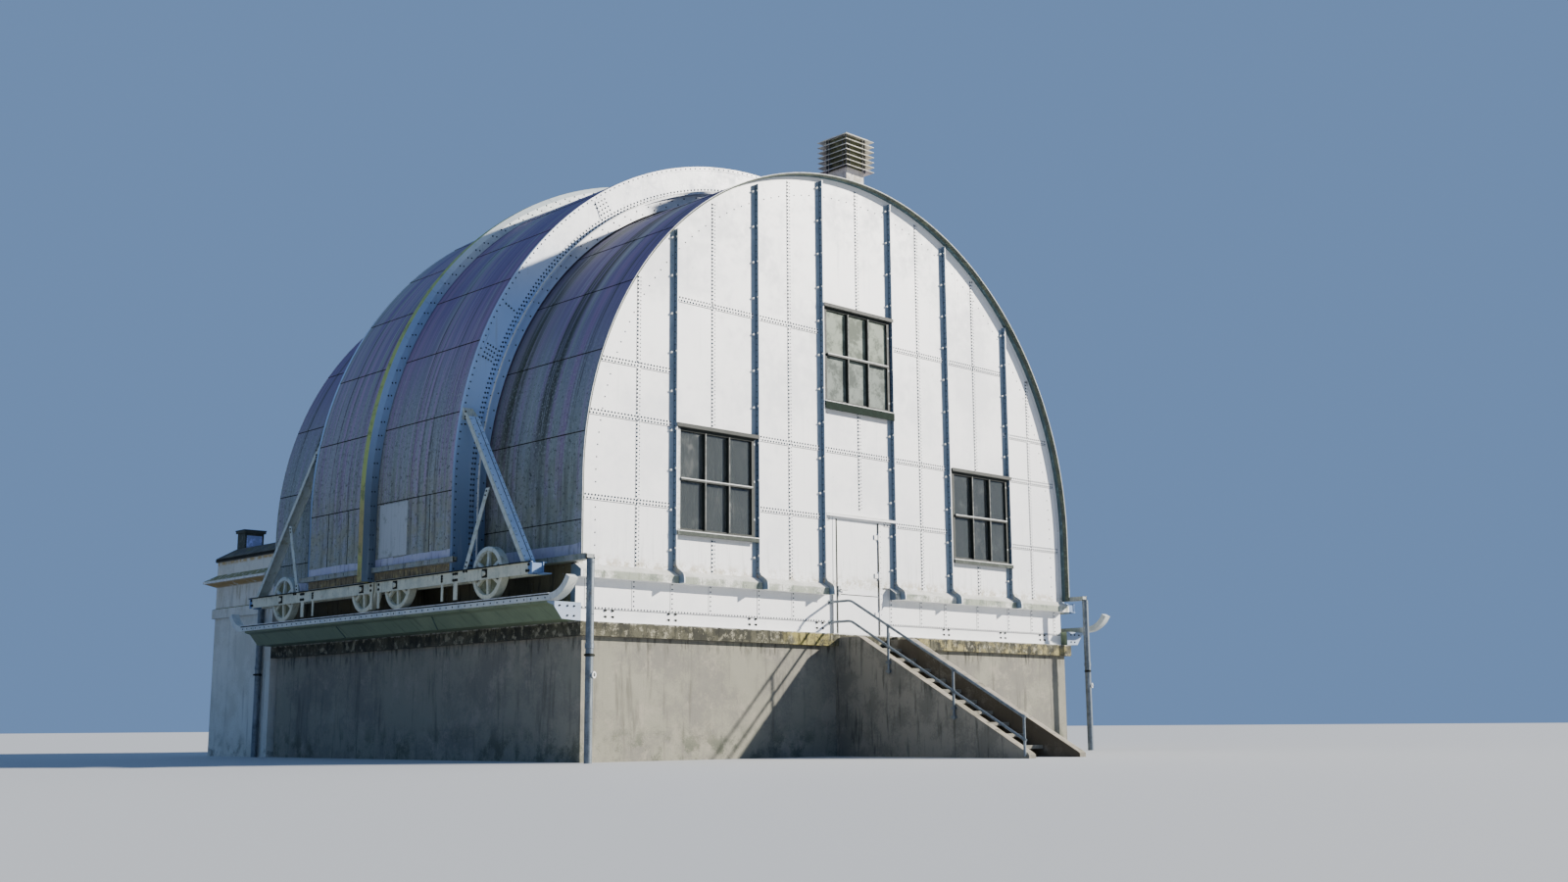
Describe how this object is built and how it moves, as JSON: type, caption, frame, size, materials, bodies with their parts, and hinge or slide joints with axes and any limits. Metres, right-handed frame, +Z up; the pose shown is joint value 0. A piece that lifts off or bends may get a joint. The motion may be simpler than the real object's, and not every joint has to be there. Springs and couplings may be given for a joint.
{
  "type": "observatory meridian hall with rolling barrel roof",
  "caption": "Barrel-vaulted observatory hall on a raised plinth, whose middle roof halves roll apart on side rails to open an observing slit, with a front stair and a low rear wing.",
  "frame": {"origin": "on the ground, at the centre of the plan's bounding box, under the hall", "axes": "+X along the front gable to the right as one faces it, +Y from the front stair to the rear wing, +Z up"},
  "size_m": [13.66, 16.1412, 11.219],
  "materials": {
    "sheet": "riveted sheet steel in weathered light grey paint",
    "shell": "weathered grey roof sheets with violet tint and dark algae streaks",
    "zinc": "dull galvanised grey",
    "carriage": "cream-grey paint, weathered",
    "fascia": "dull green-grey paint",
    "concrete": "rough grey render and concrete with lichen",
    "plaster": "white lime plaster, stained",
    "roofing": "dark roofing felt",
    "frame": "dark grey paint, worn",
    "glass": "clear window glass",
    "louvre": "chalky white-grey paint"
  },
  "bodies": {
    "root": {"plinth_walls": "concrete", "floor_slab": "concrete", "stair_flight": "concrete", "stair_wall_left": "concrete", "stair_wall_right": "concrete", "handrail": "zinc", "base_course_front_left": "sheet", "base_course_front_right": "sheet", "base_course_back": "sheet", "base_course_left": "sheet", "base_course_right": "sheet", "gable_front_left": "sheet", "gable_front_right": "sheet", "gable_front_middle": "sheet", "gable_back": "sheet", "window_left_frame": "frame", "window_left_glass": "glass", "window_right_frame": "frame", "window_right_glass": "glass", "window_upper_frame": "frame", "window_upper_glass": "glass", "window_back_frame": "frame", "window_back_glass": "glass", "vault_front": "shell", "vault_back": "shell", "downpipe_front_left": "zinc", "downpipe_front_right": "zinc", "downpipe_back_left": "zinc", "downpipe_back_right": "zinc", "girder_left": "fascia", "girder_right": "fascia", "rail_left": "sheet", "rail_right": "sheet", "rail_stop_front_left": "sheet", "rail_stop_front_right": "sheet", "rail_stop_back_left": "sheet", "rail_stop_back_right": "sheet", "ventilator": "louvre", "wing_walls": "plaster", "wing_roof": "roofing", "wing_vent_box": "zinc"},
    "front_half": {"shell_front": "shell", "arch_front": "sheet", "carriage_front_left": "carriage", "carriage_front_right": "carriage"},
    "back_half": {"shell_back": "shell", "arch_back": "sheet", "slit_rib": "sheet", "carriage_back_left": "carriage", "carriage_back_right": "carriage"},
    "door": {"door_leaf": "sheet", "door_handle": "frame"},
    "wheel_front_left_1": {"wheel_front_left_1": "carriage"},
    "wheel_front_left_2": {"wheel_front_left_2": "carriage"},
    "wheel_front_right_1": {"wheel_front_right_1": "carriage"},
    "wheel_front_right_2": {"wheel_front_right_2": "carriage"},
    "wheel_back_left_1": {"wheel_back_left_1": "carriage"},
    "wheel_back_left_2": {"wheel_back_left_2": "carriage"},
    "wheel_back_right_1": {"wheel_back_right_1": "carriage"},
    "wheel_back_right_2": {"wheel_back_right_2": "carriage"}
  },
  "joints": [
    {"name": "front_half_roll", "type": "slide", "parent": "root", "child": "front_half", "axis": [0, -1, 0], "range_m": [0, 1.45]},
    {"name": "back_half_roll", "type": "slide", "parent": "root", "child": "back_half", "axis": [0, 1, 0], "range_m": [0, 1.45]},
    {"name": "door_hinge", "type": "hinge", "parent": "root", "child": "door", "pos_m": [0.59, -4.03244, 2], "axis": [0, 0, 1], "range_deg": [0, 95]},
    {"name": "wheel_front_left_1_spin", "type": "hinge", "parent": "front_half", "child": "wheel_front_left_1", "pos_m": [-6.525, -2.61944, 2.8], "axis": [1, 0, 0], "range_deg": [0, 208]},
    {"name": "wheel_front_left_2_spin", "type": "hinge", "parent": "front_half", "child": "wheel_front_left_2", "pos_m": [-6.525, -0.04944, 2.8], "axis": [1, 0, 0], "range_deg": [0, 208]},
    {"name": "wheel_front_right_1_spin", "type": "hinge", "parent": "front_half", "child": "wheel_front_right_1", "pos_m": [6.525, -2.61944, 2.8], "axis": [1, 0, 0], "range_deg": [0, 208]},
    {"name": "wheel_front_right_2_spin", "type": "hinge", "parent": "front_half", "child": "wheel_front_right_2", "pos_m": [6.525, -0.04944, 2.8], "axis": [1, 0, 0], "range_deg": [0, 208]},
    {"name": "wheel_back_left_1_spin", "type": "hinge", "parent": "back_half", "child": "wheel_back_left_1", "pos_m": [-6.525, 1.02056, 2.8], "axis": [-1, 0, 0], "range_deg": [0, 208]},
    {"name": "wheel_back_left_2_spin", "type": "hinge", "parent": "back_half", "child": "wheel_back_left_2", "pos_m": [-6.525, 3.86056, 2.8], "axis": [-1, 0, 0], "range_deg": [0, 208]},
    {"name": "wheel_back_right_1_spin", "type": "hinge", "parent": "back_half", "child": "wheel_back_right_1", "pos_m": [6.525, 1.02056, 2.8], "axis": [-1, 0, 0], "range_deg": [0, 208]},
    {"name": "wheel_back_right_2_spin", "type": "hinge", "parent": "back_half", "child": "wheel_back_right_2", "pos_m": [6.525, 3.86056, 2.8], "axis": [-1, 0, 0], "range_deg": [0, 208]}
  ],
  "couplings": [
    {"joint": "wheel_front_left_1_spin", "follows": "front_half_roll", "rad_per_m": 2.5},
    {"joint": "wheel_front_left_2_spin", "follows": "front_half_roll", "rad_per_m": 2.5},
    {"joint": "wheel_front_right_1_spin", "follows": "front_half_roll", "rad_per_m": 2.5},
    {"joint": "wheel_front_right_2_spin", "follows": "front_half_roll", "rad_per_m": 2.5},
    {"joint": "wheel_back_left_1_spin", "follows": "back_half_roll", "rad_per_m": 2.5},
    {"joint": "wheel_back_left_2_spin", "follows": "back_half_roll", "rad_per_m": 2.5},
    {"joint": "wheel_back_right_1_spin", "follows": "back_half_roll", "rad_per_m": 2.5},
    {"joint": "wheel_back_right_2_spin", "follows": "back_half_roll", "rad_per_m": 2.5}
  ]
}
